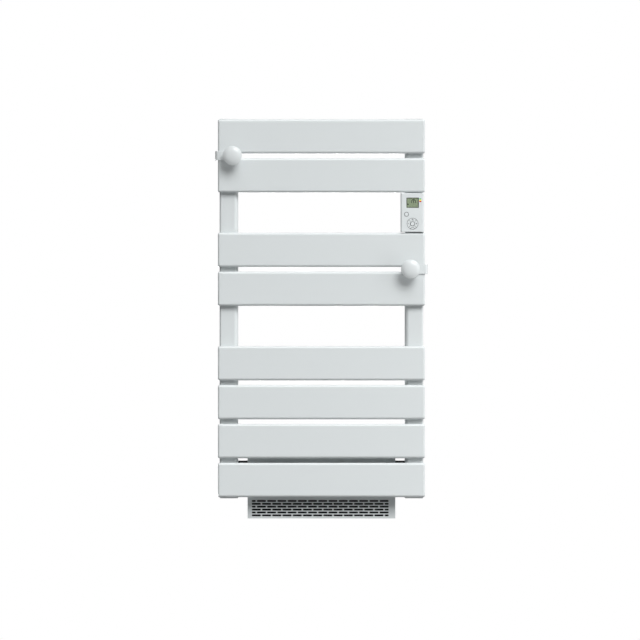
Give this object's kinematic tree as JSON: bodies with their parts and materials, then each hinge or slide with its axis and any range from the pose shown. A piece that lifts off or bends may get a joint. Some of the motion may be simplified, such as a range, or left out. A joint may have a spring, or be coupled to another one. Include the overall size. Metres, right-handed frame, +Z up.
{
  "type": "fan towel warmer",
  "caption": "Wall-hung electric towel warmer: flat slats on upright collectors, control unit with display and keys, clip-on hooks, and a blower box with a slotted outlet.",
  "frame": {"origin": "centre of the four wall holes, on the wall plane", "axes": "+Z up, -Y towards the front, +X to the right as seen from the front"},
  "size_m": [0.5132, 0.1748, 0.9656],
  "materials": {
    "white_enamel": "satin white stove enamel",
    "white_plastic": "satin white moulded plastic",
    "hook_white": "glossy white moulded plastic",
    "dark_steel": "black powder coat",
    "zinc_steel": "zinc plated",
    "duct_sheet": "black-coated sheet",
    "fan_aluminium": "dull aluminium",
    "heater_aluminium": "black anodised fins",
    "shaft_steel": "ground steel",
    "bronze": "sintered bronze",
    "black_rubber": "matte rubber",
    "heater_plastic": "glass-filled plastic",
    "filter_plastic": "matte plastic and net",
    "gland_grey": "moulded grey plastic",
    "heating_silicone": "silicone mat",
    "wire_insulation": "insulated cable",
    "clear_lens": "clear window",
    "display": "grey-green liquid crystal display",
    "light_pipe": "coloured light pipes",
    "board_green": "printed circuit board",
    "switch_black": "black switch bodies"
  },
  "bodies": {
    "radiator": {"slat_1": "white_enamel", "slat_2": "white_enamel", "slat_3": "white_enamel", "slat_4": "white_enamel", "slat_5": "white_enamel", "slat_6": "white_enamel", "slat_7": "white_enamel", "slat_8": "white_enamel", "slat_end_caps": "white_enamel", "heating_mats": "heating_silicone", "collector_left": "white_enamel", "collector_right": "white_enamel", "collector_end_caps": "white_enamel", "wire_grommets": "black_rubber", "wiring_harness": "wire_insulation", "wall_bracket_bases": "white_plastic", "wall_bracket_stems": "white_enamel", "bracket_set_screws": "zinc_steel", "bracket_fixing_screws": "zinc_steel", "collector_weld_nuts": "zinc_steel", "blower_housing": "white_enamel", "blower_front_cover": "white_enamel", "blower_carriers": "dark_steel", "blower_screws": "zinc_steel", "blower_lead": "wire_insulation", "fan_side_plates": "duct_sheet", "fan_scroll": "duct_sheet", "fan_tongue": "duct_sheet", "fan_bushes": "bronze", "motor_housing": "duct_sheet", "motor_spacers": "black_rubber", "heater_frame": "heater_plastic", "heater_bars": "heater_aluminium", "thermal_cutout": "heater_plastic", "terminal_block": "heater_plastic", "cable_gland": "gland_grey", "control_cover": "white_plastic", "control_case": "white_plastic", "control_screws": "zinc_steel", "display_lens": "clear_lens", "display_panel": "display", "status_lights": "light_pipe", "circuit_board": "board_green", "tactile_switches": "switch_black"},
    "fan_rotor": {"impeller": "fan_aluminium", "fan_shafts": "shaft_steel"},
    "dust_filter": {"filter_frame": "filter_plastic", "filter_mesh": "filter_plastic"},
    "hook_left": {"hook_strap_left": "hook_white", "hook_knob_left": "hook_white", "hook_screw_left": "zinc_steel"},
    "hook_right": {"hook_strap_right": "hook_white", "hook_knob_right": "hook_white", "hook_screw_right": "zinc_steel"},
    "mode_button": {"mode_button": "white_plastic"},
    "ok_button": {"ok_button": "white_plastic"},
    "key_up": {"key_up": "white_plastic"},
    "key_down": {"key_down": "white_plastic"},
    "key_left": {"key_left": "white_plastic"},
    "key_right": {"key_right": "white_plastic"}
  },
  "joints": [
    {"name": "fan_spin", "type": "hinge", "parent": "radiator", "child": "fan_rotor", "pos_m": [0, -0.05, -0.4251], "axis": [1, 0, 0], "continuous": true},
    {"name": "filter_slide", "type": "slide", "parent": "radiator", "child": "dust_filter", "axis": [1, 0, 0], "range_m": [0, 0.34]},
    {"name": "hook_left_slide", "type": "slide", "parent": "radiator", "child": "hook_left", "axis": [-1, 0, 0], "range_m": [0, 0.06]},
    {"name": "hook_right_slide", "type": "slide", "parent": "radiator", "child": "hook_right", "axis": [1, 0, 0], "range_m": [0, 0.06]},
    {"name": "mode_button_press", "type": "slide", "parent": "radiator", "child": "mode_button", "axis": [0, 1, 0], "range_m": [0, 0.0008], "stiffness_N_per_m": 600, "springref_m": -0.0008},
    {"name": "ok_button_press", "type": "slide", "parent": "radiator", "child": "ok_button", "axis": [0, 1, 0], "range_m": [0, 0.0008], "stiffness_N_per_m": 600, "springref_m": -0.0008},
    {"name": "key_up_press", "type": "slide", "parent": "radiator", "child": "key_up", "axis": [0, 1, 0], "range_m": [0, 0.0008], "stiffness_N_per_m": 600, "springref_m": -0.0008},
    {"name": "key_down_press", "type": "slide", "parent": "radiator", "child": "key_down", "axis": [0, 1, 0], "range_m": [0, 0.0008], "stiffness_N_per_m": 600, "springref_m": -0.0008},
    {"name": "key_left_press", "type": "slide", "parent": "radiator", "child": "key_left", "axis": [0, 1, 0], "range_m": [0, 0.0008], "stiffness_N_per_m": 600, "springref_m": -0.0008},
    {"name": "key_right_press", "type": "slide", "parent": "radiator", "child": "key_right", "axis": [0, 1, 0], "range_m": [0, 0.0008], "stiffness_N_per_m": 600, "springref_m": -0.0008}
  ]
}
